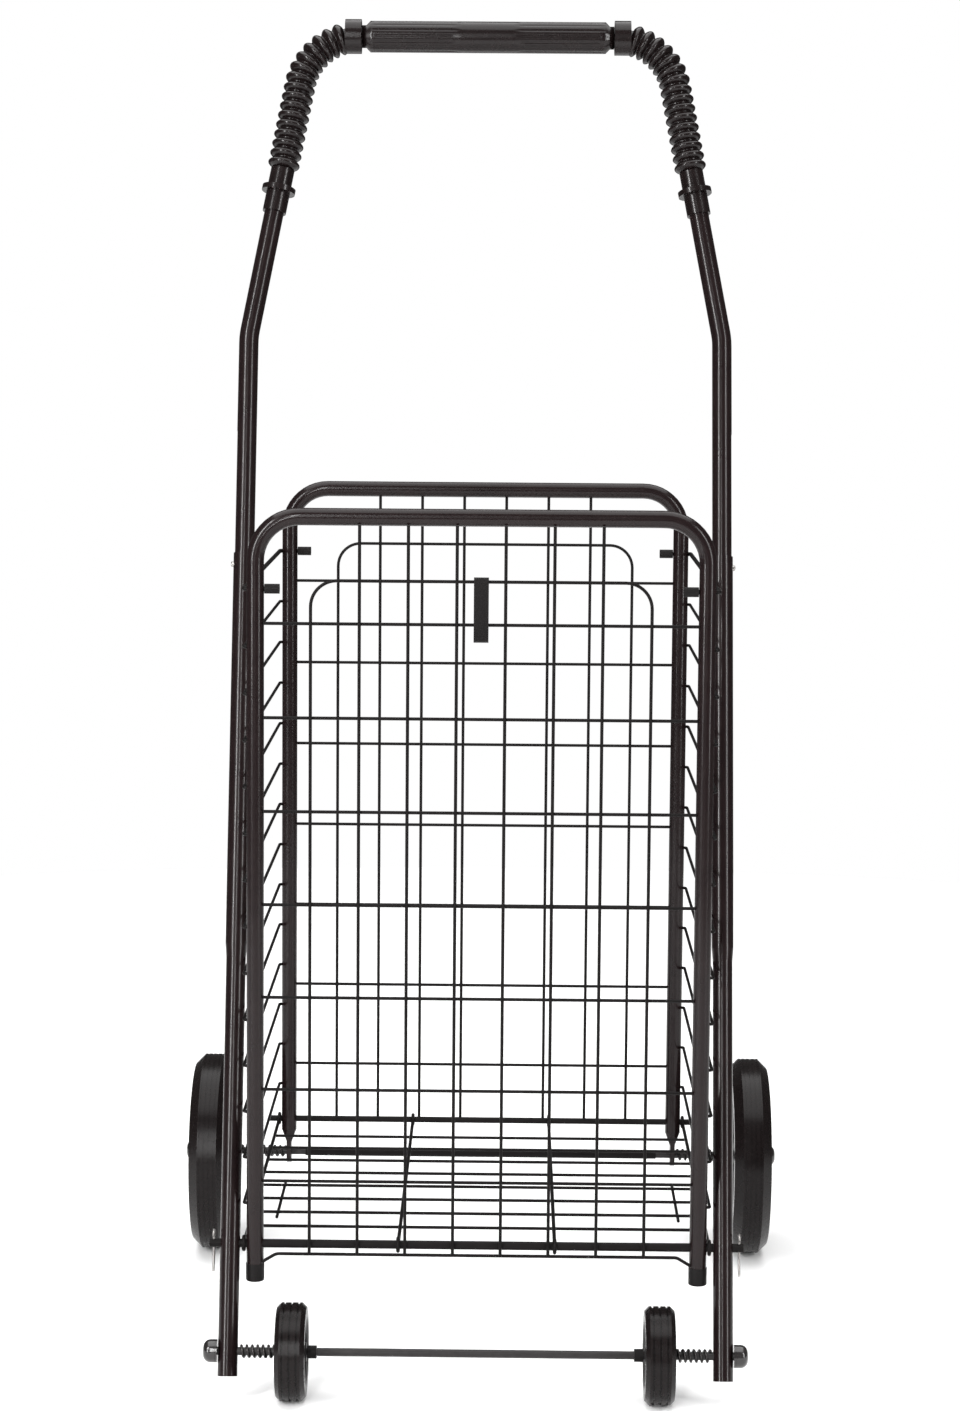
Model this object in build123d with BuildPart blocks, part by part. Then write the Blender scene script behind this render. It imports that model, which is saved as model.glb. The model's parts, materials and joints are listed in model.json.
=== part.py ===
"""Folding basket trolley: two wire-panelled arch frames joined by side wires and a wire floor,
leaning legs on a front axle, big rear wheels, and a push handle that slides into the legs."""
import os
from math import cos, radians, sin, sqrt, tan

from build123d import *

os.makedirs("parts", exist_ok=True)

# ---- basket frames ----
FRONT_Y = -211.6         # plane of the front arch
REAR_Y = 182.4           # plane of the rear arch
LEG_X = 164.0
TUBE_R = 6.35
TUBE_WALL = 1.2
ARCH_Z = 651.0           # centre line of an arch's top bar
ARCH_BEND = 32.0
FRONT_LEG_END = 86.0
CAP_END = 84.0
CAP_TOP = 97.0
CAP_WALL = 0.5
FIT = 0.08               # radial clearance of a running fit

# ---- hinge line of the basket floor ----
HINGE_Z = 112.0
BAR_R = 3.2
BAR_HALF = 197.5
RAIL_R = 2.5
RAIL_HALF = 181.0
LINK_R = 1.4
LINK_INNER_X = 58.0
LINK_OUTER_X = 172.3
FLOOR_WIRE_FIRST = 57.0  # distance from the front bar
FLOOR_WIRE_PITCH = 40.5
FLOOR_WIRES = 8

# ---- wire panels ----
WIRE_R = 1.2
WELD = 0.3               # how deep crossing wires are fused
UPRIGHT_PITCH = 35.3
UPRIGHTS = 6
CROSS_TOP_Z = 573.5
CROSS_PITCH = 68.9
CROSS_WIRES = 7
ARCH_WIRE_X = 123.6
ARCH_WIRE_Z = 605.0
ARCH_WIRE_BEND = 19.0
FRONT_BOTTOM_Z = 104.9

# ---- side links ----
SIDE_WIRE_X = 172.3
SIDE_WIRE_BEND = 2.0
SIDE_TOP_Z = 556.0
SIDE_PITCH = 34.45
SIDE_LEVELS = 13
ROD_Z = 598.5
ROD_R = 1.7
ROD_BEND = 2.0
NUT_R = 3.6
NUT_LENGTH = 11.0

# ---- leaning legs, measured along the leg from the pivot bar ----
LEAN = radians(15.4)
LEG_LINE_X = 182.5
SOCKET_R = 8.2
SOCKET_BORE = 7.55
SOCKET_TOP = 521.0
SOCKET_FOOT = 222.0
NECK_LENGTH = 10.0
SHANK_R = 7.4
SHANK_BORE = 6.2
SHANK_END = -97.0

# ---- wheels and axles ----
AXLE_R = 3.0
FRONT_WHEEL_R = 36.0
FRONT_WHEEL_X = 135.5
FRONT_WHEEL_WIDTH = 22.0
FRONT_RIM_R = 24.0
REAR_WHEEL_R = 82.5
REAR_WHEEL_X = 228.5
REAR_WHEEL_WIDTH = 31.0
REAR_RIM_R = 64.0
REAR_AXLE_Y = REAR_Y + 4.0
TAB_THICK = 4.0
TAB_R = 9.5
TAB_TOP = 103.0
CONE = 12.0              # length over which a rear leg narrows to its flat tab
SLEEVE_R = 3.75
SLEEVE_HALF = 150.0
SPRING_R = 5.2
WASHER_R = 8.5
WASHER_THICK = 1.4
DOME_R = 8.5
DOME_HEIGHT = 9.0
DOME_ROUND = 5.5
AXLE_END = 6.0           # how far an axle reaches into its cap

# ---- handle, drawn in the leaning plane ----
HANDLE_R = 7.5
HANDLE_WALL = 1.2
HANDLE_FOOT = 371.0
HANDLE_BEND = 692.0
HANDLE_TOP = 934.0
HANDLE_TOP_X = 139.5
LOW_RADIUS = 60.0
TOP_RADIUS = 48.0
GRIP_HALF = 98.5
GRIP_R = 12.2
COLLAR_START_X = 99.0
COLLAR_WIDTH = 12.7
COLLAR_R = 13.4
COLLAR_GAP = 2.1         # between the collar's bore and the tube, which curves inside it
RIB_R = 12.4
SLEEVE_BORE = HANDLE_R + 0.05
CUFF_R = 9.15
CUFF_LOW = 791.0
CUFF_TOP = 826.0
FLANGE_AT = 809.0
FLANGE_R = 13.0
FLANGE_THICK = 4.0

# ---- snap buttons and clip ----
BUTTON_AT = 512.4
BUTTON_R = 2.2
BUTTON_PROUD = 1.8
BUTTON_ROOT = 3.8        # from the leg's centre line to the button's inner end
TRAVEL = 100.0
CLIP_HALF = 5.4
CLIP_END = 561.0
CLIP_THICK = 2.0

# ---- values worked out from the above ----
LEG_DIR = Vector(0, sin(LEAN), cos(LEAN))
PIVOT = Vector(0, FRONT_Y, HINGE_Z)
LEAN_PLANE = Plane(origin=PIVOT, x_dir=(1, 0, 0), z_dir=(0, -cos(LEAN), sin(LEAN)))
AXLE_AT = -(HINGE_Z - FRONT_WHEEL_R) / cos(LEAN)
AXLE = PIVOT + LEG_DIR * AXLE_AT
SIDE_ZS = [SIDE_TOP_Z - SIDE_PITCH * i for i in range(SIDE_LEVELS)]
UPRIGHT_XS = [(i - (UPRIGHTS - 1) / 2) * UPRIGHT_PITCH for i in range(UPRIGHTS)]
CROSS_ZS = [CROSS_TOP_Z - CROSS_PITCH * i for i in range(CROSS_WIRES)]
SIDES = ((-1, "left"), (1, "right"))


def save(part, name):
    part.label = name
    export_step(part, "parts/" + name + ".step")


def make_tubes(name, spans, spot, outer, inner=0.0):
    """Round bars along X, or tubes when they have a bore, one for each span of X."""
    with BuildPart() as bars:
        for low, high in spans:
            with BuildSketch(Plane(origin=(min(low, high), spot[0], spot[1]), z_dir=(1, 0, 0))):
                Circle(outer)
                if inner > 0:
                    Circle(inner, mode=Mode.SUBTRACT)
            extrude(amount=abs(high - low))
    save(bars.part, name)


def make_wires(name, routes):
    """Bent round wires fused into one piece; a route is its points, radius and bend."""
    with BuildPart() as wires:
        for points, radius, bend in routes:
            with BuildLine() as path:
                if bend > 0:
                    FilletPolyline(*points, radius=bend)
                else:
                    Polyline(*points)
            with BuildSketch(Plane(origin=points[0], z_dir=Vector(*points[1]) - Vector(*points[0]))):
                Circle(radius)
            sweep()
    save(wires.part, name)


def both_sides(low, high):
    return [(-high, -low), (low, high)]


# ---- arch frames ----
def make_front_hoop():
    rods = [(s * (LEG_X + TUBE_R), FRONT_Y, z) for s in (-1, 1) for z in SIDE_ZS]
    with BuildPart() as hoop:
        with BuildLine():
            FilletPolyline(
                (-LEG_X, FRONT_Y, FRONT_LEG_END),
                (-LEG_X, FRONT_Y, ARCH_Z),
                (LEG_X, FRONT_Y, ARCH_Z),
                (LEG_X, FRONT_Y, FRONT_LEG_END),
                radius=ARCH_BEND,
            )
        with BuildSketch(Plane(origin=(-LEG_X, FRONT_Y, FRONT_LEG_END), z_dir=(0, 0, 1))):
            Circle(TUBE_R)
            Circle(TUBE_R - TUBE_WALL, mode=Mode.SUBTRACT)
        sweep()
        with Locations(*rods):
            Cylinder(WIRE_R + FIT, TUBE_R, rotation=(0, 90, 0), mode=Mode.SUBTRACT)
        with Locations((0, FRONT_Y, ROD_Z)):
            Cylinder(ROD_R + FIT, 3 * LEG_X, rotation=(0, 90, 0), mode=Mode.SUBTRACT)
        with Locations((0, FRONT_Y, HINGE_Z)):
            Cylinder(BAR_R, 3 * LEG_X, rotation=(0, 90, 0), mode=Mode.SUBTRACT)
    save(hoop.part, "front_hoop")


def make_rear_hoop():
    rods = [(s * (LEG_X + TUBE_R), REAR_Y, z) for s in (-1, 1) for z in SIDE_ZS]
    with BuildPart() as hoop:
        with BuildLine():
            FilletPolyline(
                (-LEG_X, REAR_Y, TAB_TOP),
                (-LEG_X, REAR_Y, ARCH_Z),
                (LEG_X, REAR_Y, ARCH_Z),
                (LEG_X, REAR_Y, TAB_TOP),
                radius=ARCH_BEND,
            )
        with BuildSketch(Plane(origin=(-LEG_X, REAR_Y, TAB_TOP), z_dir=(0, 0, 1))):
            Circle(TUBE_R)
            Circle(TUBE_R - TUBE_WALL, mode=Mode.SUBTRACT)
        sweep()
        for side in (-1, 1):
            tab_face = Plane(origin=(side * LEG_X, REAR_Y, REAR_WHEEL_R), x_dir=(0, 1, 0), z_dir=(1, 0, 0))
            back = REAR_AXLE_Y - REAR_Y
            with BuildSketch(tab_face):
                with BuildLine():
                    Polyline(
                        (back - TAB_R, 0),
                        (-TUBE_R + 1, TAB_TOP - REAR_WHEEL_R + 4),
                        (TUBE_R - 1, TAB_TOP - REAR_WHEEL_R + 4),
                        (back + TAB_R, 0),
                        close=True,
                    )
                make_face()
            extrude(amount=TAB_THICK / 2, both=True)
        with Locations((-LEG_X, REAR_AXLE_Y, REAR_WHEEL_R), (LEG_X, REAR_AXLE_Y, REAR_WHEEL_R)):
            Cylinder(TAB_R, TAB_THICK, rotation=(0, 90, 0))
        with Locations((-LEG_X, REAR_Y, TAB_TOP - CONE / 2), (LEG_X, REAR_Y, TAB_TOP - CONE / 2)):
            Cone(TAB_THICK / 2, TUBE_R, CONE)
        with Locations((0, REAR_AXLE_Y, REAR_WHEEL_R)):
            Cylinder(AXLE_R, 3 * LEG_X, rotation=(0, 90, 0), mode=Mode.SUBTRACT)
        with Locations(*rods):
            Cylinder(WIRE_R + FIT, TUBE_R, rotation=(0, 90, 0), mode=Mode.SUBTRACT)
        with Locations((0, REAR_Y, ROD_Z)):
            Cylinder(ROD_R + FIT, 3 * LEG_X, rotation=(0, 90, 0), mode=Mode.SUBTRACT)
        with Locations((0, REAR_Y, HINGE_Z)):
            Cylinder(RAIL_R, 3 * LEG_X, rotation=(0, 90, 0), mode=Mode.SUBTRACT)
    save(hoop.part, "rear_hoop")


def make_leg_cap(side, name):
    with BuildPart() as cap:
        with BuildSketch(Plane(origin=(side * LEG_X, FRONT_Y, CAP_END))):
            Circle(TUBE_R + CAP_WALL)
        extrude(amount=CAP_TOP - CAP_END)
        fillet(cap.edges().group_by(Axis.Z)[0], 1.2)
        with BuildSketch(Plane(origin=(side * LEG_X, FRONT_Y, FRONT_LEG_END))):
            Circle(TUBE_R)
        extrude(amount=CAP_TOP, mode=Mode.SUBTRACT)
    save(cap.part, name)


# ---- wire panels ----
def panel_routes(upright_y, cross_y, low_z):
    """Uprights, cross wires and the inner arch wire of one panel."""
    under_arch = ARCH_Z - sqrt(TUBE_R ** 2 - (upright_y - cross_y) ** 2) + WELD
    reach = LEG_X - TUBE_R + 2 * WELD
    routes = [([(x, upright_y, low_z), (x, upright_y, under_arch)], WIRE_R, 0) for x in UPRIGHT_XS]
    routes += [([(-reach, cross_y, z), (reach, cross_y, z)], WIRE_R, 0) for z in CROSS_ZS]
    arch = [
        (-ARCH_WIRE_X, upright_y, low_z),
        (-ARCH_WIRE_X, upright_y, ARCH_WIRE_Z),
        (ARCH_WIRE_X, upright_y, ARCH_WIRE_Z),
        (ARCH_WIRE_X, upright_y, low_z),
    ]
    routes.append((arch, WIRE_R, ARCH_WIRE_BEND))
    return routes


def make_front_grid():
    upright_y = FRONT_Y - BAR_R - WIRE_R - WELD
    cross_y = upright_y + 2 * WIRE_R - WELD
    reach = LEG_X - TUBE_R + 2 * WELD
    bottom = [
        (-reach, cross_y, FRONT_BOTTOM_Z - 6),
        (-reach + 10, cross_y, FRONT_BOTTOM_Z),
        (reach - 10, cross_y, FRONT_BOTTOM_Z),
        (reach, cross_y, FRONT_BOTTOM_Z - 6),
    ]
    routes = panel_routes(upright_y, cross_y, FRONT_BOTTOM_Z)
    routes.append((bottom, WIRE_R, 8))
    make_wires("front_grid", routes)
    return upright_y


def make_rear_grid():
    upright_y = REAR_Y + RAIL_R + WIRE_R - WELD
    cross_y = upright_y - 2 * WIRE_R + WELD
    make_wires("rear_grid", panel_routes(upright_y, cross_y, HINGE_Z - RAIL_R))


# ---- basket floor: links with an eye round the front bar and round the rear rail ----
def make_floor():
    link_xs = (-LINK_OUTER_X, -LINK_INNER_X, LINK_INNER_X, LINK_OUTER_X)
    wire_z = HINGE_Z - LINK_R - WIRE_R + WELD
    eyes = ((FRONT_Y, BAR_R + FIT + LINK_R), (REAR_Y, RAIL_R + FIT + LINK_R))
    with BuildPart() as floor:
        for x in link_xs:
            with BuildSketch(Plane(origin=(x, FRONT_Y + eyes[0][1], HINGE_Z), z_dir=(0, 1, 0))):
                Circle(LINK_R)
            extrude(amount=REAR_Y - FRONT_Y - eyes[0][1] - eyes[1][1])
            for y, eye_r in eyes:
                with Locations((x, y, HINGE_Z)):
                    Torus(eye_r, LINK_R, rotation=(0, 90, 0))
        for i in range(FLOOR_WIRES):
            y = FRONT_Y + FLOOR_WIRE_FIRST + i * FLOOR_WIRE_PITCH
            with BuildSketch(Plane(origin=(-LINK_OUTER_X, y, wire_z), z_dir=(1, 0, 0))):
                Circle(WIRE_R)
            extrude(amount=2 * LINK_OUTER_X)
        for side in (-1, 1):
            lower_z = wire_z - 2 * WIRE_R + WELD
            with BuildSketch(Plane(origin=(side * 154.0, FRONT_Y + 90, lower_z), z_dir=(0, 1, 0))):
                Circle(WIRE_R)
            extrude(amount=2.6 * FLOOR_WIRE_PITCH)
    save(floor.part, "floor_grid")


# ---- leaning legs ----
def leg_plane(x, along):
    return Plane(origin=Vector(x, 0, 0) + PIVOT + LEG_DIR * along, x_dir=(1, 0, 0), z_dir=LEG_DIR)


def make_leg(side, name):
    x = side * LEG_LINE_X
    seat = PIVOT + LEG_DIR * BUTTON_AT
    with BuildPart() as leg:
        with BuildSketch(leg_plane(x, SOCKET_FOOT)):
            Circle(SOCKET_R)
        extrude(amount=SOCKET_TOP - SOCKET_FOOT)
        with BuildSketch(leg_plane(x, SHANK_END)):
            Circle(SHANK_R)
        extrude(amount=SOCKET_FOOT - NECK_LENGTH - SHANK_END)
        with BuildSketch(leg_plane(x, SOCKET_FOOT - NECK_LENGTH)):
            Circle(SHANK_R)
        with BuildSketch(leg_plane(x, SOCKET_FOOT)):
            Circle(SOCKET_R)
        loft()
        with BuildSketch(leg_plane(x, SHANK_END)):
            Circle(SHANK_BORE)
        extrude(amount=SOCKET_FOOT - SHANK_END, mode=Mode.SUBTRACT)
        with BuildSketch(leg_plane(x, SOCKET_FOOT)):
            Circle(SOCKET_BORE)
        extrude(amount=SOCKET_TOP, mode=Mode.SUBTRACT)
        with Locations((x, FRONT_Y, HINGE_Z)):
            Cylinder(BAR_R + FIT, 4 * SHANK_R, rotation=(0, 90, 0), mode=Mode.SUBTRACT)
        with Locations((x, AXLE.Y, AXLE.Z)):
            Cylinder(AXLE_R, 4 * SHANK_R, rotation=(0, 90, 0), mode=Mode.SUBTRACT)
        with Locations((x + side * SOCKET_R, seat.Y, seat.Z)):
            Cylinder(BUTTON_R + FIT, SOCKET_R, rotation=(0, 90, 0), mode=Mode.SUBTRACT)
    save(leg.part, name)


def make_snap_button(side, name):
    seat = PIVOT + LEG_DIR * BUTTON_AT
    root = LEG_LINE_X + BUTTON_ROOT
    length = LEG_LINE_X + SOCKET_R + BUTTON_PROUD - root
    with BuildPart() as button:
        with BuildSketch(Plane(origin=(side * root, seat.Y, seat.Z), z_dir=(side, 0, 0))):
            Circle(BUTTON_R)
        extrude(amount=length)
        tip = button.faces().sort_by(Axis.X)[-1 if side > 0 else 0]
        fillet(tip.edges(), 1.0)
    save(button.part, name)


# ---- handle ----
def slant_x(along):
    """Half width of the handle where it slants inward."""
    return LEG_LINE_X - (LEG_LINE_X - HANDLE_TOP_X) * (along - HANDLE_BEND) / (HANDLE_TOP - HANDLE_BEND)


def slant_plane(side, along):
    """Plane across the handle's slanting part, facing up along it."""
    low = LEAN_PLANE.from_local_coords(Vector(side * slant_x(along), along, 0))
    high = LEAN_PLANE.from_local_coords(Vector(side * slant_x(along + 1), along + 1, 0))
    return Plane(origin=low, z_dir=high - low)


def make_handle_tube():
    slot = SOCKET_TOP - BUTTON_AT
    with BuildPart() as tube:
        with BuildLine(LEAN_PLANE):
            FilletPolyline(
                (-LEG_LINE_X, HANDLE_FOOT),
                (-LEG_LINE_X, HANDLE_BEND),
                (-HANDLE_TOP_X, HANDLE_TOP),
                (HANDLE_TOP_X, HANDLE_TOP),
                (LEG_LINE_X, HANDLE_BEND),
                (LEG_LINE_X, HANDLE_FOOT),
                radius=[LOW_RADIUS, TOP_RADIUS, TOP_RADIUS, LOW_RADIUS],
            )
        with BuildSketch(leg_plane(-LEG_LINE_X, HANDLE_FOOT)):
            Circle(HANDLE_R)
            Circle(HANDLE_R - HANDLE_WALL, mode=Mode.SUBTRACT)
        sweep()
        for side in (-1, 1):
            with BuildSketch(leg_plane(side * (LEG_LINE_X + HANDLE_R), BUTTON_AT - slot / 2)):
                Rectangle(HANDLE_R, 2 * BUTTON_R + 0.4)
            extrude(amount=TRAVEL + slot, mode=Mode.SUBTRACT)
    save(tube.part, "handle_tube")


def make_ribbed_sleeve(side, name):
    end_x = COLLAR_START_X + COLLAR_WIDTH
    reach = TOP_RADIUS * tan((radians(90) - (LEG_LINE_X - HANDLE_TOP_X) / (HANDLE_TOP - HANDLE_BEND)) / 2)
    turn_x = HANDLE_TOP_X - reach + 0.5
    with BuildPart() as sleeve:
        with BuildLine(LEAN_PLANE):
            FilletPolyline(
                (side * slant_x(CUFF_TOP), CUFF_TOP),
                (side * HANDLE_TOP_X, HANDLE_TOP),
                (side * (turn_x - 1.0), HANDLE_TOP),
                radius=TOP_RADIUS,
            )
        with BuildSketch(slant_plane(side, CUFF_TOP)):
            Circle(RIB_R)
            Circle(SLEEVE_BORE, mode=Mode.SUBTRACT)
        sweep()
        split(bisect_by=Plane(origin=(side * end_x, 0, 0), z_dir=(side, 0, 0)), keep=Keep.TOP)
    save(sleeve.part, name)


def make_sleeve_cuff(side, name):
    with BuildPart() as cuff:
        with BuildSketch(slant_plane(side, CUFF_LOW)):
            Circle(CUFF_R)
        extrude(amount=CUFF_TOP - CUFF_LOW)
        with BuildSketch(slant_plane(side, FLANGE_AT - FLANGE_THICK / 2)):
            Circle(FLANGE_R)
        extrude(amount=FLANGE_THICK)
        with BuildSketch(slant_plane(side, CUFF_LOW)):
            Circle(SLEEVE_BORE)
        extrude(amount=CUFF_TOP, mode=Mode.SUBTRACT)
    save(cuff.part, name)


# ---- wheels ----
def make_tyre(name, centre, radius, width, rim, grooves, depth):
    half = width / 2
    shoulder = 0.09 * radius
    with BuildPart() as tyre:
        with BuildSketch(Plane(origin=centre, x_dir=(1, 0, 0), z_dir=(0, -1, 0))):
            with BuildLine():
                Polyline(
                    (-half + 1, rim),
                    (-half, rim + 2),
                    (-half, radius - shoulder),
                    (-half + shoulder, radius),
                    (half - shoulder, radius),
                    (half, radius - shoulder),
                    (half, rim + 2),
                    (half - 1, rim),
                    close=True,
                )
            make_face()
            with GridLocations((width - 2 * shoulder) / grooves, 0, grooves, 1):
                with Locations((0, radius)):
                    Rectangle(1.4, 2 * depth, mode=Mode.SUBTRACT)
        revolve(axis=Axis(centre, (1, 0, 0)))
    save(tyre.part, name)


def make_hub(name, centre, rim, width, hub_r, hub_width, web, spokes):
    """Moulded wheel centre: rim band, web with ribs on both faces, and a hub tube."""
    band = 4.0
    with BuildPart() as hub:
        with BuildSketch(Plane(origin=centre, x_dir=(1, 0, 0), z_dir=(0, -1, 0))):
            with Locations((0, rim - band / 2)):
                Rectangle(width - 2, band)
            with Locations((0, (rim - band + hub_r) / 2)):
                Rectangle(web, rim - band - hub_r + 1)
            with Locations((0, (hub_r + AXLE_R + FIT) / 2)):
                Rectangle(hub_width, hub_r - AXLE_R - FIT)
        revolve(axis=Axis(centre, (1, 0, 0)))
        with BuildSketch(Plane(origin=centre, x_dir=(0, 1, 0), z_dir=(1, 0, 0))):
            with PolarLocations((rim - band + hub_r) / 2, spokes):
                Rectangle(rim - band - hub_r + 1, 4.0)
        extrude(amount=width / 2 - 3, both=True)
    save(hub.part, name)


# ---- dome caps pushed on the axle ends ----
def make_dome_caps(name, start, spot):
    with BuildPart() as caps:
        for side in (-1, 1):
            with BuildSketch(Plane(origin=(side * start, *spot), z_dir=(side, 0, 0))):
                Circle(DOME_R)
            extrude(amount=DOME_HEIGHT)
        fillet([caps.edges().sort_by(Axis.X)[0], caps.edges().sort_by(Axis.X)[-1]], DOME_ROUND)
        for side in (-1, 1):
            with BuildSketch(Plane(origin=(side * start, *spot), z_dir=(side, 0, 0))):
                Circle(AXLE_R)
            extrude(amount=AXLE_END, mode=Mode.SUBTRACT)
    save(caps.part, name)


# ---- latch clip hooked over the front panel's arch wire ----
def make_latch_clip(wire_y):
    back = wire_y - WIRE_R - FIT
    with BuildPart() as clip:
        with BuildSketch(Plane(origin=(-CLIP_HALF, 0, 0), x_dir=(0, 1, 0), z_dir=(1, 0, 0))):
            with Locations((wire_y, ARCH_WIRE_Z)):
                Circle(WIRE_R + FIT + CLIP_THICK)
            with BuildLine():
                Polyline(
                    (back, ARCH_WIRE_Z),
                    (back, CLIP_END),
                    (back - CLIP_THICK, CLIP_END + 1),
                    (back - CLIP_THICK, ARCH_WIRE_Z),
                    close=True,
                )
            make_face()
            with Locations((wire_y, ARCH_WIRE_Z)):
                Circle(WIRE_R + FIT, mode=Mode.SUBTRACT)
        extrude(amount=2 * CLIP_HALF)
    save(clip.part, "latch_clip")


def make_split_pins():
    x = BAR_HALF - 3.0
    with BuildPart() as pins:
        for side in (-1, 1):
            with BuildLine() as leg_line:
                FilletPolyline(
                    (side * x, FRONT_Y, HINGE_Z + 6),
                    (side * x, FRONT_Y, HINGE_Z - 8),
                    (side * x, FRONT_Y - 6, HINGE_Z - 20),
                    radius=6,
                )
            with BuildSketch(Plane(origin=(side * x, FRONT_Y, HINGE_Z + 6), z_dir=(0, 0, -1))):
                Circle(0.9)
            sweep()
            with Locations((side * x, FRONT_Y, HINGE_Z + 7.6)):
                Torus(2.2, 0.9, rotation=(0, 90, 0))
    save(pins.part, "split_pins")


def make_pivot_bar():
    with BuildPart() as bar:
        with BuildSketch(Plane(origin=(-BAR_HALF, FRONT_Y, HINGE_Z), z_dir=(1, 0, 0))):
            Circle(BAR_R)
        extrude(amount=2 * BAR_HALF)
        with Locations((3.0 - BAR_HALF, FRONT_Y, HINGE_Z), (BAR_HALF - 3.0, FRONT_Y, HINGE_Z)):
            Cylinder(0.9, 4 * BAR_R, mode=Mode.SUBTRACT)
    save(bar.part, "pivot_bar")


def side_routes(x, z, radius, bend, end_x):
    routes = []
    for side in (-1, 1):
        points = [
            (side * end_x, FRONT_Y, z),
            (side * x, FRONT_Y, z),
            (side * x, REAR_Y, z),
            (side * end_x, REAR_Y, z),
        ]
        routes.append((points, radius, bend))
    return routes


front_wire_y = make_front_grid()
make_front_hoop()
make_rear_hoop()
make_rear_grid()
make_floor()
make_latch_clip(front_wire_y)
make_pivot_bar()
make_split_pins()
make_tubes("rear_rail", [(-RAIL_HALF, RAIL_HALF)], (REAR_Y, HINGE_Z), RAIL_R)

for i, level in enumerate(SIDE_ZS):
    make_wires("side_wires_%02d" % (i + 1), side_routes(SIDE_WIRE_X, level, WIRE_R, SIDE_WIRE_BEND, LEG_X + 3))
nut_face = LEG_X - TUBE_R - 0.3
make_wires("top_rods", side_routes(SIDE_WIRE_X, ROD_Z, ROD_R, ROD_BEND, nut_face - NUT_LENGTH + 2))
for y, place in ((FRONT_Y, "front"), (REAR_Y, "rear")):
    make_tubes("top_rod_nuts_" + place, both_sides(nut_face - NUT_LENGTH, nut_face), (y, ROD_Z), NUT_R, ROD_R)

front_axle_spot = (AXLE.Y, AXLE.Z)
front_cap_x = LEG_LINE_X + SHANK_R + 0.4 + WASHER_THICK + 0.1
front_washer_x = LEG_LINE_X + SHANK_R + 0.4
front_wheel_out = FRONT_WHEEL_X + FRONT_WHEEL_WIDTH / 2
front_wheel_in = FRONT_WHEEL_X - FRONT_WHEEL_WIDTH / 2
make_tubes("front_axle", [(-front_cap_x - AXLE_END, front_cap_x + AXLE_END)], front_axle_spot, AXLE_R)
make_tubes("front_axle_washers", both_sides(front_washer_x, front_washer_x + WASHER_THICK),
           front_axle_spot, WASHER_R, AXLE_R)
make_dome_caps("front_axle_caps", front_cap_x, front_axle_spot)
make_tubes("front_axle_collars", both_sides(front_wheel_in - 7.5, front_wheel_in - 0.5),
           front_axle_spot, AXLE_R + 1.8, AXLE_R)
make_tubes("front_axle_springs", both_sides(front_wheel_out + 0.6, LEG_LINE_X - SHANK_R - 0.6),
           front_axle_spot, SPRING_R, AXLE_R + 0.2)

rear_axle_spot = (REAR_AXLE_Y, REAR_WHEEL_R)
rear_hub_half = REAR_WHEEL_WIDTH / 2 - 3
rear_cap_x = REAR_WHEEL_X + rear_hub_half + WASHER_THICK + 0.6
rear_hub_in = REAR_WHEEL_X - rear_hub_half
rear_washer_x = REAR_WHEEL_X + rear_hub_half + 0.4
make_tubes("rear_axle", [(-rear_cap_x - AXLE_END, rear_cap_x + AXLE_END)], rear_axle_spot, AXLE_R)
make_tubes("rear_axle_sleeve", [(-SLEEVE_HALF, SLEEVE_HALF)], rear_axle_spot, SLEEVE_R, AXLE_R)
make_tubes("rear_axle_washers", both_sides(rear_washer_x, rear_washer_x + WASHER_THICK),
           rear_axle_spot, WASHER_R, AXLE_R)
make_dome_caps("rear_axle_caps", rear_cap_x, rear_axle_spot)
make_tubes("rear_axle_springs", both_sides(LEG_X + TAB_THICK / 2 + 0.6, rear_hub_in - 0.6),
           rear_axle_spot, SPRING_R, AXLE_R + 0.2)

bar_centre = PIVOT + LEG_DIR * HANDLE_TOP
make_handle_tube()
make_tubes("grip_centre", [(-GRIP_HALF, GRIP_HALF)], (bar_centre.Y, bar_centre.Z), GRIP_R, SLEEVE_BORE)
make_tubes("grip_collars", both_sides(COLLAR_START_X, COLLAR_START_X + COLLAR_WIDTH),
           (bar_centre.Y, bar_centre.Z), COLLAR_R, HANDLE_R + COLLAR_GAP)

for side, side_name in SIDES:
    front_centre = (side * FRONT_WHEEL_X, *front_axle_spot)
    rear_centre = (side * REAR_WHEEL_X, *rear_axle_spot)
    make_leg_cap(side, "front_leg_cap_" + side_name)
    make_leg(side, "leg_" + side_name)
    make_snap_button(side, "snap_button_" + side_name)
    make_ribbed_sleeve(side, "ribbed_sleeve_" + side_name)
    make_sleeve_cuff(side, "sleeve_cuff_" + side_name)
    make_tyre("front_tyre_" + side_name, front_centre, FRONT_WHEEL_R, FRONT_WHEEL_WIDTH, FRONT_RIM_R, 3, 1.2)
    make_hub("front_wheel_" + side_name, front_centre, FRONT_RIM_R, FRONT_WHEEL_WIDTH, 7.0,
             FRONT_WHEEL_WIDTH, 5.0, 6)
    make_tyre("rear_tyre_" + side_name, rear_centre, REAR_WHEEL_R, REAR_WHEEL_WIDTH, REAR_RIM_R, 4, 0.5)
    make_hub("rear_wheel_" + side_name, rear_centre, REAR_RIM_R, REAR_WHEEL_WIDTH, 11.0,
             2 * rear_hub_half, 6.0, 8)
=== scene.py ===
"""Finish, light and camera for the folding basket trolley."""
import json
from math import atan, cos, pi, sin

import bpy
from mathutils import Matrix, Vector


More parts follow.
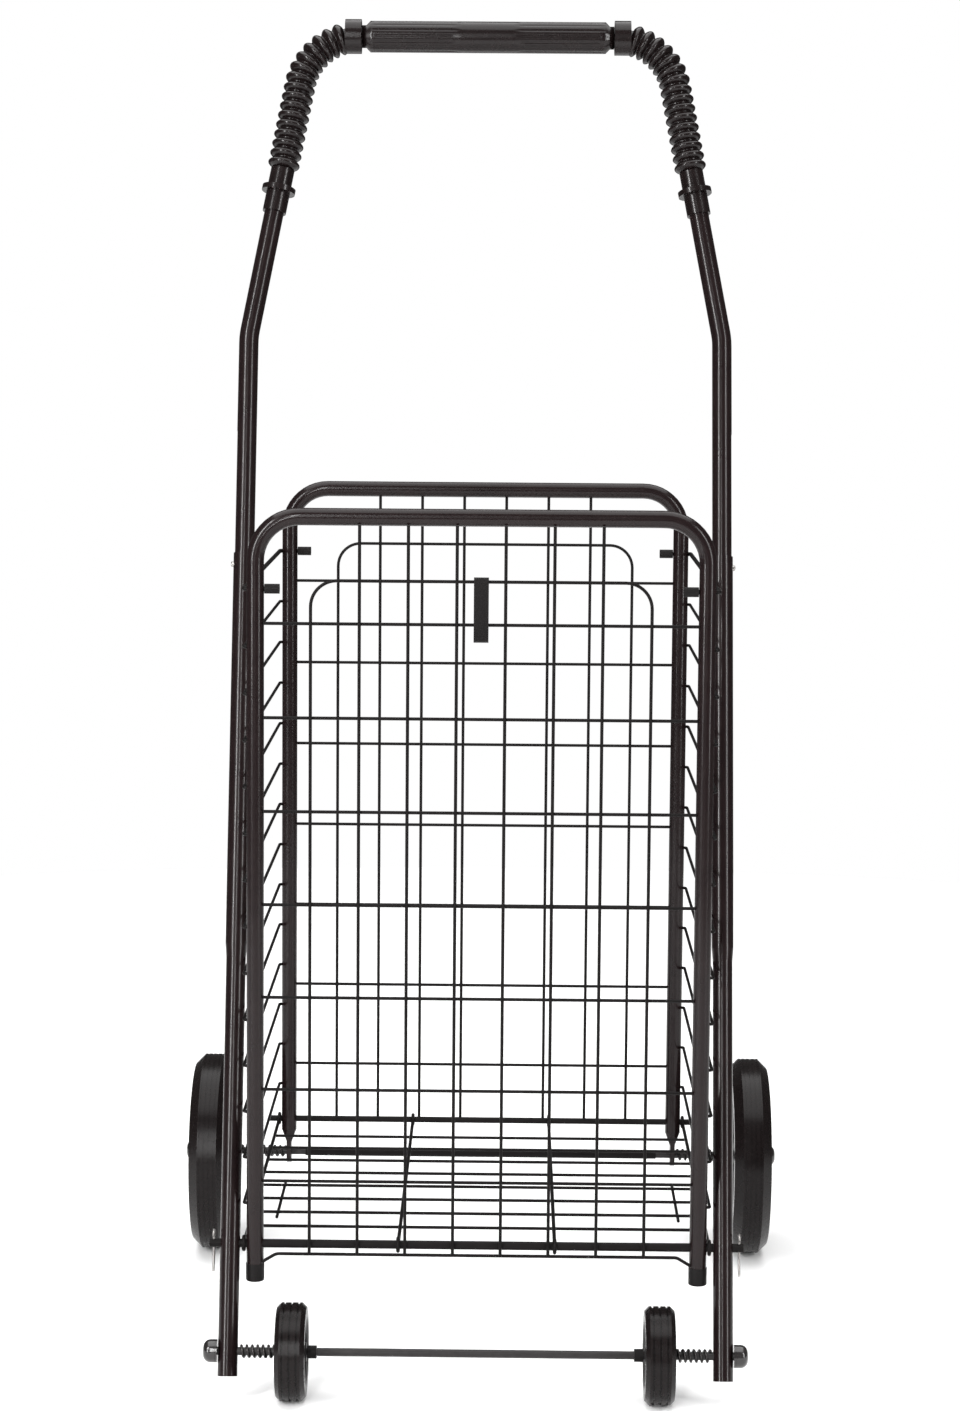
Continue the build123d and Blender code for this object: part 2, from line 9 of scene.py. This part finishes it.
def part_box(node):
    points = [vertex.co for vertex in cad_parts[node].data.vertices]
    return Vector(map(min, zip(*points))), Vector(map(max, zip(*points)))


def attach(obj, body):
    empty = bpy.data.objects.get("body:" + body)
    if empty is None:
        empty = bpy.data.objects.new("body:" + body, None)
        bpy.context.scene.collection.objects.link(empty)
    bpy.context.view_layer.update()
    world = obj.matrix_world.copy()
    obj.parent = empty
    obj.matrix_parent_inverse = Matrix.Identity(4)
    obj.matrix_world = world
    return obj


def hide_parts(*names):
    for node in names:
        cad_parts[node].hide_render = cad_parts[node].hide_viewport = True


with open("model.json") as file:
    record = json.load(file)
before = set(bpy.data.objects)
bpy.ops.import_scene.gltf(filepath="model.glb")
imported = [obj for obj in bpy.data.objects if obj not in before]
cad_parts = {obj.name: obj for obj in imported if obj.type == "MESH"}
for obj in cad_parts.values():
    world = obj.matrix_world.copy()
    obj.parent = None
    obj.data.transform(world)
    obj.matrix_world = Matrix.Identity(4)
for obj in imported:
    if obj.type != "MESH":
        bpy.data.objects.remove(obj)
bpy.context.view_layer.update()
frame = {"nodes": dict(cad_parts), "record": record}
nodes = frame["nodes"]
record = frame["record"]

MM = 0.001

# ---- finishes: each mottles between two colours and two roughnesses, with a fine relief ----
TINT_DETAIL = 4.0
GRAIN_SCALE = 420.0
GRAIN_DETAIL = 2.0
GRAIN_DEPTH = 0.08 * MM
COLOR_A, COLOR_B, COLOR_RESULT = 6, 7, 2    # a Mix node's colour sockets go by number

LOOKS = {
    "frame_paint": dict(colors=((0.006, 0.0035, 0.0038), (0.010, 0.006, 0.006)), rough=(0.2, 0.3),
                        scale=60, bump=0.04, coat=0.12, spec=0.14),
    "wire_paint": dict(colors=((0.003, 0.0025, 0.0025), (0.006, 0.005, 0.005)), rough=(0.4, 0.5),
                       scale=90, bump=0.2, spec=0.08),
    "trim_plastic": dict(colors=((0.003, 0.0026, 0.0026), (0.006, 0.005, 0.005)), rough=(0.4, 0.55),
                         scale=120, bump=0.2, spec=0.12),
    "zinc_wire": dict(colors=((0.30, 0.29, 0.28), (0.18, 0.17, 0.165)), rough=(0.3, 0.5),
                      scale=300, bump=0.2, metal=1.0),
    "axle_steel": dict(colors=((0.008, 0.007, 0.007), (0.02, 0.018, 0.018)), rough=(0.3, 0.5),
                       scale=200, bump=0.3, metal=0.2, spec=0.3),
    "cap_steel": dict(colors=((0.008, 0.007, 0.007), (0.016, 0.014, 0.014)), rough=(0.15, 0.3),
                      scale=150, bump=0.1, coat=0.3, spec=0.4),
    "spring_steel": dict(colors=((0.02, 0.018, 0.018), (0.04, 0.036, 0.036)), rough=(0.2, 0.3),
                         scale=200, bump=0.1, metal=0.6),
    "grip_plastic": dict(colors=((0.0045, 0.003, 0.003), (0.008, 0.005, 0.005)), rough=(0.22, 0.32),
                         scale=80, bump=0.05, coat=0.15, coat_rough=0.14, spec=0.16),
    "button_steel": dict(colors=((0.35, 0.34, 0.33), (0.25, 0.24, 0.23)), rough=(0.2, 0.35),
                         scale=200, bump=0.1, metal=1.0),
    "tyre_rubber": dict(colors=((0.004, 0.003, 0.003), (0.007, 0.005, 0.005)), rough=(0.22, 0.32),
                        scale=140, bump=0.15, spec=0.14),
    "wheel_plastic": dict(colors=((0.006, 0.005, 0.005), (0.010, 0.009, 0.009)), rough=(0.4, 0.55),
                          scale=100, bump=0.3, spec=0.3),
}


def make_material(name, colors, rough, scale, bump, metal=0.0, coat=0.0, coat_rough=0.1, spec=0.4):
    mat = bpy.data.materials.new(name)
    mat.use_nodes = True
    tree = mat.node_tree
    shader = tree.nodes["Principled BSDF"]
    coords = tree.nodes.new("ShaderNodeTexCoord")

    mottle = tree.nodes.new("ShaderNodeTexNoise")
    mottle.inputs["Scale"].default_value = scale
    mottle.inputs["Detail"].default_value = TINT_DETAIL
    tree.links.new(coords.outputs["Object"], mottle.inputs["Vector"])

    tint = tree.nodes.new("ShaderNodeMix")
    tint.data_type = "RGBA"
    tint.inputs[COLOR_A].default_value = (*colors[0], 1)
    tint.inputs[COLOR_B].default_value = (*colors[1], 1)
    tree.links.new(mottle.outputs["Fac"], tint.inputs["Factor"])
    tree.links.new(tint.outputs[COLOR_RESULT], shader.inputs["Base Color"])

    gloss = tree.nodes.new("ShaderNodeMapRange")
    gloss.inputs["To Min"].default_value = rough[0]
    gloss.inputs["To Max"].default_value = rough[1]
    tree.links.new(mottle.outputs["Fac"], gloss.inputs["Value"])
    tree.links.new(gloss.outputs["Result"], shader.inputs["Roughness"])

    grain = tree.nodes.new("ShaderNodeTexNoise")
    grain.inputs["Scale"].default_value = GRAIN_SCALE
    grain.inputs["Detail"].default_value = GRAIN_DETAIL
    tree.links.new(coords.outputs["Object"], grain.inputs["Vector"])
    relief = tree.nodes.new("ShaderNodeBump")
    relief.inputs["Strength"].default_value = bump
    relief.inputs["Distance"].default_value = GRAIN_DEPTH
    tree.links.new(grain.outputs["Fac"], relief.inputs["Height"])
    tree.links.new(relief.outputs["Normal"], shader.inputs["Normal"])

    shader.inputs["Metallic"].default_value = metal
    shader.inputs["Specular IOR Level"].default_value = spec
    shader.inputs["Coat Weight"].default_value = coat
    shader.inputs["Coat Roughness"].default_value = coat_rough
    return mat


FINISHES = {slot: make_material(slot, **look) for slot, look in LOOKS.items()}

for part in record["subparts"]:
    obj = nodes[part["node"]]
    obj.data.materials.clear()
    obj.data.materials.append(FINISHES[part["material_slot"]])


# ---- new pieces ----
def new_piece(name, verts, faces, slot, body, replaced):
    """A smooth mesh that moves with a body and stands in for one CAD node."""
    mesh = bpy.data.meshes.new(name)
    mesh.from_pydata(verts, [], faces)
    mesh.validate()
    for face in mesh.polygons:
        face.use_smooth = True
    obj = bpy.data.objects.new(name, mesh)
    bpy.context.collection.objects.link(obj)
    mesh.materials.append(FINISHES[slot])
    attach(obj, body)
    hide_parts(replaced)


def tube_along(points, radii, sides, verts, faces):
    """Adds a round skin through points, with a radius at each, and a cap on both ends."""
    start = len(verts)
    tangent = (points[1] - points[0]).normalized()
    side = tangent.orthogonal().normalized()
    for i, point in enumerate(points):
        ahead = points[min(i + 1, len(points) - 1)]
        behind = points[max(i - 1, 0)]
        tangent = (ahead - behind).normalized()
        side = (side - tangent * side.dot(tangent)).normalized()
        up = tangent.cross(side)
        for k in range(sides):
            turn = 2 * pi * k / sides
            verts.append(point + (side * cos(turn) + up * sin(turn)) * radii[i])
    for i in range(len(points) - 1):
        for k in range(sides):
            a = start + i * sides + k
            b = start + i * sides + (k + 1) % sides
            faces.append((a, b, b + sides, a + sides))
    faces.append(tuple(range(start + sides - 1, start - 1, -1)))
    last = start + (len(points) - 1) * sides
    faces.append(tuple(range(last, last + sides)))


# ---- coil springs ----
COIL_WIRE_R = 1.05 * MM
COIL_WIRE_SIDES = 8
COIL_STEPS_PER_TURN = 16
FRONT_COIL_PITCH = 4.0 * MM
REAR_COIL_PITCH = 4.6 * MM


def coil_points(low_x, high_x, y, z, radius, pitch):
    turns = (high_x - low_x) / pitch
    steps = int(turns * COIL_STEPS_PER_TURN)
    points = []
    for i in range(steps + 1):
        t = i / steps
        turn = 2 * pi * turns * t
        points.append(Vector((low_x + (high_x - low_x) * t, y + radius * cos(turn), z + radius * sin(turn))))
    return points


def add_springs(node, body, pitch):
    """A pair of coil springs in place of the two plain tubes of a node."""
    low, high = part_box(node)
    y = (low[1] + high[1]) / 2
    z = (low[2] + high[2]) / 2
    radius = (high[2] - low[2]) / 2 - COIL_WIRE_R
    inner_end = min(abs(v.co.x) for v in nodes[node].data.vertices) + COIL_WIRE_R
    spans = (
        (low[0] + COIL_WIRE_R, -inner_end),
        (inner_end, high[0] - COIL_WIRE_R),
    )
    verts = []
    faces = []
    for start, end in spans:
        points = coil_points(start, end, y, z, radius, pitch)
        tube_along(points, [COIL_WIRE_R] * len(points), COIL_WIRE_SIDES, verts, faces)
    new_piece(node + "_coils", verts, faces, "spring_steel", body, node)


add_springs("front_axle_springs", "main_legs", FRONT_COIL_PITCH)
add_springs("rear_axle_springs", "rear_frame", REAR_COIL_PITCH)


# ---- the handle's centre line, in its leaning plane ----
CORNER_X = 139.5 * MM        # where the bar and the slanting sides would meet without a bend
STRAIGHT_X = 182.5 * MM      # where the sides run straight down
BEND_R = 48.0 * MM
BAR_TO_STRAIGHT = 242.0 * MM    # both along the lean, down from the bar
BAR_TO_CUFF = 108.0 * MM

grip_low, grip_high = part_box("grip_centre")
bar = Vector((0, (grip_low[1] + grip_high[1]) / 2, (grip_low[2] + grip_high[2]) / 2))
slide = next(j for j in record["behaviour"]["joints"] if j["name"] == "handle_height")
lean = Vector(slide["axis"]).normalized()
slant_angle = atan((STRAIGHT_X - CORNER_X) / BAR_TO_STRAIGHT)
turn_angle = pi / 2 - slant_angle
bend_length = BEND_R * turn_angle
bend_start_x = CORNER_X - BEND_R * sin(turn_angle / 2) / cos(turn_angle / 2)


def handle_point(s, side):
    """Point on the handle's centre line, s along it from where the bend starts, on side -1 or 1."""
    if s < 0:
        x = bend_start_x + s
        drop = 0.0
    elif s < bend_length:
        x = bend_start_x + BEND_R * sin(s / BEND_R)
        drop = BEND_R * (1 - cos(s / BEND_R))
    else:
        rest = s - bend_length
        x = bend_start_x + BEND_R * sin(turn_angle) + rest * sin(slant_angle)
        drop = BEND_R * (1 - cos(turn_angle)) + rest * cos(slant_angle)
    return bar + Vector((side * x, 0, 0)) - lean * drop


def s_at_drop(drop):
    """Distance along the centre line where it is that far below the bar, past the bend."""
    bend_drop = BEND_R * (1 - cos(turn_angle))
    return bend_length + (drop - bend_drop) / cos(slant_angle)


# ---- ribbed sleeves, from the grip's collars down to the cuffs ----
RIB_R = 12.4 * MM
RIB_PITCH = 7.9 * MM
RIB_DEPTH = 3.9 * MM
RIB_ROUNDNESS = 0.45         # under 1, so that crests are broad and valleys narrow
RIB_STEPS = 12
SLEEVE_SIDES = 40
COLLAR_CLEARANCE = 0.4 * MM

collar_end_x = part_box("grip_collars")[1][0]


def rib_radius(phase):
    """Outline of one rib: a round crest and a narrower valley."""
    crest = 0.5 + 0.5 * cos(2 * pi * phase)
    return RIB_R - RIB_DEPTH * (1 - crest ** RIB_ROUNDNESS)


def make_ribbed_sleeve(side, name):
    start = collar_end_x - bend_start_x + COLLAR_CLEARANCE
    end = s_at_drop(BAR_TO_CUFF)
    ribs = round((end - start) / RIB_PITCH)
    steps = ribs * RIB_STEPS
    points = []
    radii = []
    for i in range(steps + 1):
        t = i / steps
        points.append(handle_point(start + (end - start) * t, side))
        radii.append(rib_radius(ribs * t - 0.5))
    verts = []
    faces = []
    tube_along(points, radii, SLEEVE_SIDES, verts, faces)
    new_piece("ribs_" + name, verts, faces, "grip_plastic", "handle", "ribbed_sleeve_" + name)


for side, name in ((-1, "left"), (1, "right")):
    make_ribbed_sleeve(side, name)


# ---- centre grip: fluted ends, a smooth middle band, and stepped shoulders ----
GRIP_SIDES = 96
GRIP_ROWS = 60
GRIP_BORE_R = 7.6 * MM
SHOULDER_LENGTH = 4.0 * MM
SHOULDER_STEP = 3.4 * MM
SMOOTH_HALF = 26.0 * MM      # half the length of the smooth band
FLUTES = 16
FLUTE_DEPTH = 0.55 * MM
FLUTE_END_GAP = 7.0 * MM

grip_r = (grip_high[2] - grip_low[2]) / 2
grip_half = grip_high[0]


def grip_radius(x, turn):
    """Outer radius of the grip at a place along it and round it."""
    from_end = grip_half - abs(x)
    radius = grip_r
    if from_end < SHOULDER_LENGTH:
        radius -= SHOULDER_STEP
    if abs(x) >= SMOOTH_HALF and from_end > FLUTE_END_GAP:
        radius -= FLUTE_DEPTH * max(0.0, cos(FLUTES * turn)) ** 2
    return radius


def bar_point(x, radius, turn):
    return bar + Vector((x, radius * cos(turn), radius * sin(turn)))


def make_centre_grip():
    turns = [2 * pi * k / GRIP_SIDES for k in range(GRIP_SIDES)]
    verts = []
    faces = []
    for i in range(GRIP_ROWS + 1):
        x = -grip_half + 2 * grip_half * i / GRIP_ROWS
        verts.extend(bar_point(x, grip_radius(x, turn), turn) for turn in turns)
    for i in range(GRIP_ROWS):
        for k in range(GRIP_SIDES):
            a = i * GRIP_SIDES + k
            b = i * GRIP_SIDES + (k + 1) % GRIP_SIDES
            faces.append((a, a + GRIP_SIDES, b + GRIP_SIDES, b))
    for row, end in ((0, -1), (GRIP_ROWS, 1)):
        outer = row * GRIP_SIDES
        inner = len(verts)
        verts.extend(bar_point(end * grip_half, GRIP_BORE_R, turn) for turn in turns)
        for k in range(GRIP_SIDES):
            n = (k + 1) % GRIP_SIDES
            quad = (outer + k, outer + n, inner + n, inner + k)
            faces.append(quad if end < 0 else tuple(reversed(quad)))
    new_piece("fluted_grip", verts, faces, "grip_plastic", "handle", "grip_centre")


make_centre_grip()


# ---- shading of the carried-over nodes: smooth, with sharp edges kept ----
SHARP_ANGLE = 0.6            # radians

for obj in nodes.values():
    for face in obj.data.polygons:
        face.use_smooth = True
    edges = obj.modifiers.new("edges", "EDGE_SPLIT")
    edges.split_angle = SHARP_ANGLE


# ---- floor ----
FLOOR_R = 2.2
FLOOR_SIDES = 96
FLOOR_COLOR = (0.95, 0.95, 0.95, 1)
FLOOR_ROUGH = 0.9


def make_floor():
    mesh = bpy.data.meshes.new("floor")
    turns = [2 * pi * k / FLOOR_SIDES for k in range(FLOOR_SIDES)]
    rim = [(FLOOR_R * cos(turn), FLOOR_R * sin(turn), 0) for turn in turns]
    mesh.from_pydata(rim, [], [tuple(range(FLOOR_SIDES))])
    floor = bpy.data.objects.new("floor", mesh)
    bpy.context.collection.objects.link(floor)
    mat = bpy.data.materials.new("floor_white")
    mat.use_nodes = True
    shader = mat.node_tree.nodes["Principled BSDF"]
    shader.inputs["Base Color"].default_value = FLOOR_COLOR
    shader.inputs["Roughness"].default_value = FLOOR_ROUGH
    mesh.materials.append(mat)


make_floor()


# ---- world: white to the camera, dim to everything else ----
BACKDROP_COLOR = (1, 1, 1, 1)
BACKDROP_LIGHT = 1.0
ROOM_COLOR = (1, 0.99, 0.98, 1)
ROOM_LIGHT = 0.1


def make_world():
    world = bpy.data.worlds.new("studio")
    world.use_nodes = True
    sky = world.node_tree
    backdrop = sky.nodes["Background"]
    backdrop.inputs["Color"].default_value = BACKDROP_COLOR
    backdrop.inputs["Strength"].default_value = BACKDROP_LIGHT
    room = sky.nodes.new("ShaderNodeBackground")
    room.inputs["Color"].default_value = ROOM_COLOR
    room.inputs["Strength"].default_value = ROOM_LIGHT
    rays = sky.nodes.new("ShaderNodeLightPath")
    pick = sky.nodes.new("ShaderNodeMixShader")
    sky.links.new(rays.outputs["Is Camera Ray"], pick.inputs["Fac"])
    sky.links.new(room.outputs["Background"], pick.inputs[1])
    sky.links.new(backdrop.outputs["Background"], pick.inputs[2])
    sky.links.new(pick.outputs["Shader"], sky.nodes["World Output"].inputs["Surface"])
    bpy.context.scene.world = world
    bpy.context.scene.view_settings.view_transform = "Standard"


make_world()


# ---- lights ----
MIDDLE = (0, 0, 0.5)         # about the middle of the trolley


def add_light(name, place, target, size, power):
    data = bpy.data.lights.new(name, "AREA")
    data.shape = "RECTANGLE"
    data.size = size[0]
    data.size_y = size[1]
    data.energy = power
    light = bpy.data.objects.new(name, data)
    light.location = place
    light.rotation_euler = (Vector(target) - Vector(place)).to_track_quat("-Z", "Y").to_euler()
    bpy.context.collection.objects.link(light)


add_light("key_left", place=(-1.7, -2.0, 1.3), target=MIDDLE, size=(0.16, 2.2), power=90)
add_light("fill_right", place=(2.0, -1.7, 1.2), target=MIDDLE, size=(0.2, 2.2), power=50)
add_light("front_strip", place=(-0.5, -3.2, 1.4), target=MIDDLE, size=(0.1, 1.8), power=36)
add_light("ceiling", place=(0, 0.2, 4.0), target=(0, 0, 0), size=(5.0, 5.0), power=280)


# ---- camera, in front of the trolley, above the basket and looking slightly down ----
CAMERA_AT = Vector((0.0184, -2.6696, 0.7982))
YAW = -0.0112
PITCH = 0.1149
ROLL = 0.0074
SENSOR_HEIGHT = 36.0
FOCAL_PER_HEIGHT = 2.4115
SHIFT_X = 0.0085


def place_camera():
    data = bpy.data.cameras.new("camera")
    data.sensor_fit = "VERTICAL"
    data.sensor_height = SENSOR_HEIGHT
    data.lens = SENSOR_HEIGHT * FOCAL_PER_HEIGHT
    data.shift_x = SHIFT_X
    camera = bpy.data.objects.new("camera", data)
    forward = Vector((sin(YAW) * cos(PITCH), cos(YAW) * cos(PITCH), -sin(PITCH)))
    level = Vector((cos(YAW), -sin(YAW), 0))
    upward = level.cross(forward)
    right = level * cos(ROLL) + upward * sin(ROLL)
    top = upward * cos(ROLL) - level * sin(ROLL)
    axes = Matrix((right, top, -forward)).transposed().to_4x4()
    camera.matrix_world = Matrix.Translation(CAMERA_AT) @ axes
    bpy.context.collection.objects.link(camera)
    bpy.context.scene.camera = camera


place_camera()
